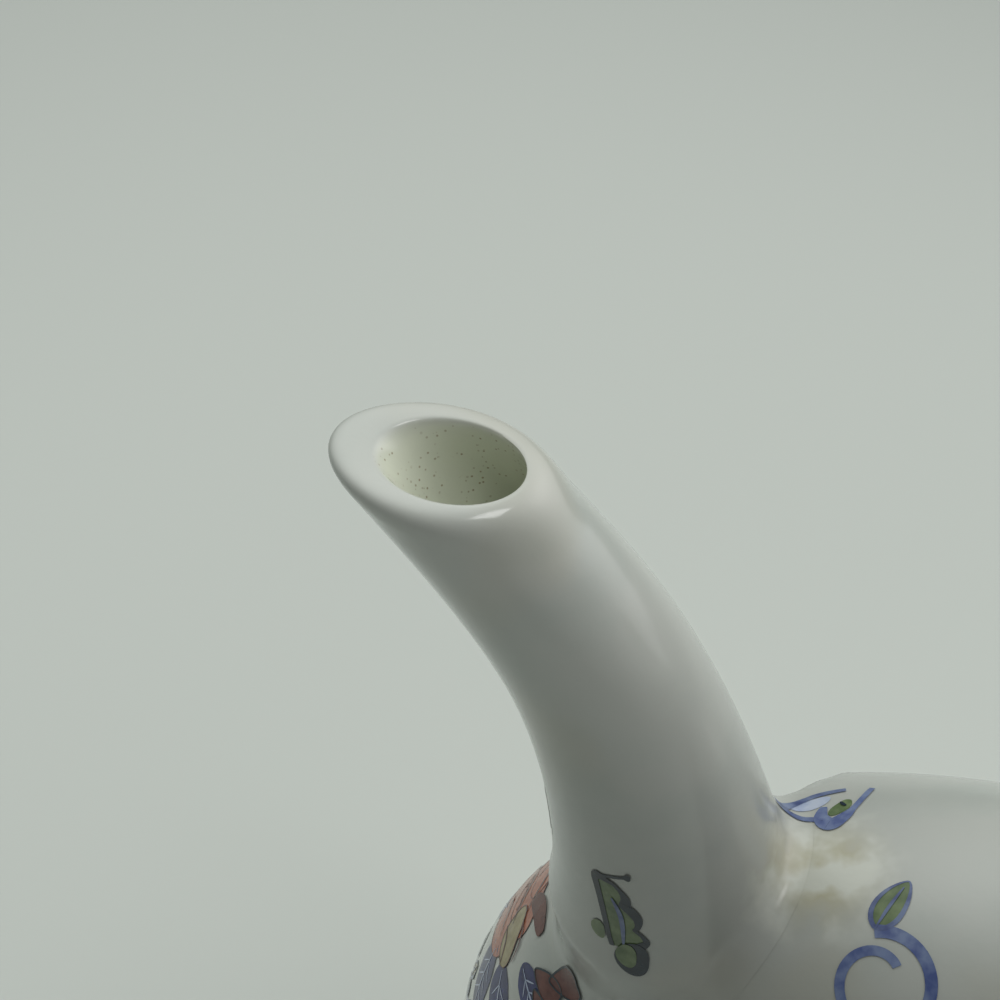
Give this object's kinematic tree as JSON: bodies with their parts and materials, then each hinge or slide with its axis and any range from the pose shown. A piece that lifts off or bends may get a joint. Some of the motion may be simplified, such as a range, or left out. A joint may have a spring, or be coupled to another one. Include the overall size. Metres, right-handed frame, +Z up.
{
  "type": "ring teapot",
  "caption": "Porcelain ring teapot: an upright hollow ring on an oval foot, with a curved spout, an ear handle, a neck and a lifting lid with a knob.",
  "frame": {"origin": "on the table, at the middle of the bounding box's base", "axes": "+Z up, -X towards the spout, Y along the ring's axis"},
  "size_m": [0.1778, 0.0384, 0.16],
  "materials": {
    "glaze": "glossy clear glaze on white porcelain, with painted enamels",
    "biscuit": "thinly glazed cream porcelain"
  },
  "bodies": {
    "pot": {"ring_front": "glaze", "ring_rear": "glaze", "foot": "glaze", "spout": "glaze", "spout_strainer": "biscuit", "handle": "glaze", "neck": "glaze"},
    "lid": {"lid_dome": "glaze", "lid_flange": "biscuit", "lid_knob": "glaze"}
  },
  "joints": [
    {"name": "lid_lift", "type": "slide", "parent": "pot", "child": "lid", "axis": [0, 0, 1], "range_m": [0, 0.03]}
  ]
}
